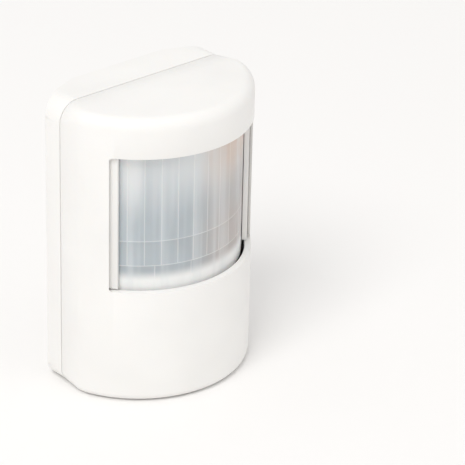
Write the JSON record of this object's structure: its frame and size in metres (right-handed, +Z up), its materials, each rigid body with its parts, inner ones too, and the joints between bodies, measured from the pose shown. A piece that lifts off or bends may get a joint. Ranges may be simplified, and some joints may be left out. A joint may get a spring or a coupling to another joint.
{
  "type": "motion sensor",
  "caption": "Battery-powered passive infrared motion sensor with a half-round white housing, a wide faceted lens and a hinged front cover.",
  "frame": {"origin": "middle of the flat underside, at the centre of the bounding box seen from above", "axes": "+Z up along the housing's height, -Y forwards out of the lens, +Y towards the wall, +X to the right seen from the front"},
  "size_m": [0.0736, 0.0508, 0.105],
  "materials": {
    "housing": "white moulded ABS, satin, very fine texture",
    "lens": "milky translucent polyethylene with moulded lens facets",
    "lens_frame": "white moulded plastic, satin",
    "circuit_board": "green solder mask over glass-fibre board",
    "black_plastic": "black moulded plastic",
    "foam": "black closed-cell foam ring",
    "steel": "zinc-plated or bright steel",
    "sensor_filter": "dark infrared filter",
    "led": "tinted clear epoxy",
    "button_cap": "light grey plastic",
    "switch_blue": "blue moulded plastic",
    "slider_white": "white plastic",
    "plunger_red": "red plastic",
    "copper_wire": "lacquered copper wire",
    "capacitor_sleeve": "dark shrink sleeve over an aluminium can",
    "battery_jacket": "printed metal jacket with bare steel ends"
  },
  "bodies": {
    "base": {"rear_cover": "housing", "pcb": "circuit_board", "pcb_screw_left": "steel", "pcb_screw_right": "steel", "pyro_can": "steel", "pyro_window": "sensor_filter", "pyro_gasket": "foam", "status_led": "led", "test_button": "black_plastic", "dip_switch": "switch_blue", "tamper_switch": "black_plastic", "antenna_coil": "copper_wire", "controller_chip": "black_plastic", "radio_shield": "steel", "crystal": "steel", "capacitor_upper": "capacitor_sleeve", "capacitor_lower": "capacitor_sleeve", "programming_header": "black_plastic", "battery_holder": "black_plastic", "battery_lower": "battery_jacket", "battery_upper": "battery_jacket", "battery_spring_lower": "steel", "battery_spring_upper": "steel", "battery_contact_lower": "steel", "battery_contact_upper": "steel"},
    "cover": {"front_cover": "housing", "lens": "lens", "lens_frame": "lens_frame"},
    "lock_screw": {"lock_screw": "steel"},
    "test_button_cap": {"test_button_cap": "button_cap"},
    "dip_slider_1": {"dip_slider_1": "slider_white"},
    "dip_slider_2": {"dip_slider_2": "slider_white"},
    "tamper_plunger": {"tamper_plunger": "plunger_red"}
  },
  "joints": [
    {"name": "cover_open", "type": "hinge", "parent": "base", "child": "cover", "pos_m": [0, 0.0108, 0.105], "axis": [-1, 0, 0], "range_deg": [0, 70]},
    {"name": "lock_screw_turn", "type": "hinge", "parent": "base", "child": "lock_screw", "pos_m": [0, 0.0198, 0.004], "axis": [0, 0, 1], "continuous": true},
    {"name": "tamper_plunger_slide", "type": "slide", "parent": "base", "child": "tamper_plunger", "axis": [0, -1, 0], "range_m": [0, 0.0015]},
    {"name": "test_button_press", "type": "slide", "parent": "base", "child": "test_button_cap", "axis": [0, 1, 0], "range_m": [0, 0.0004], "stiffness_N_per_m": 600, "springref_m": -0.0004},
    {"name": "dip_slider_1_slide", "type": "slide", "parent": "base", "child": "dip_slider_1", "axis": [0, 0, 1], "range_m": [0, 0.002]},
    {"name": "dip_slider_2_slide", "type": "slide", "parent": "base", "child": "dip_slider_2", "axis": [0, 0, 1], "range_m": [0, 0.002]}
  ],
  "couplings": [
    {"joint": "tamper_plunger_slide", "follows": "cover_open", "m_per_rad": 0.001227}
  ]
}
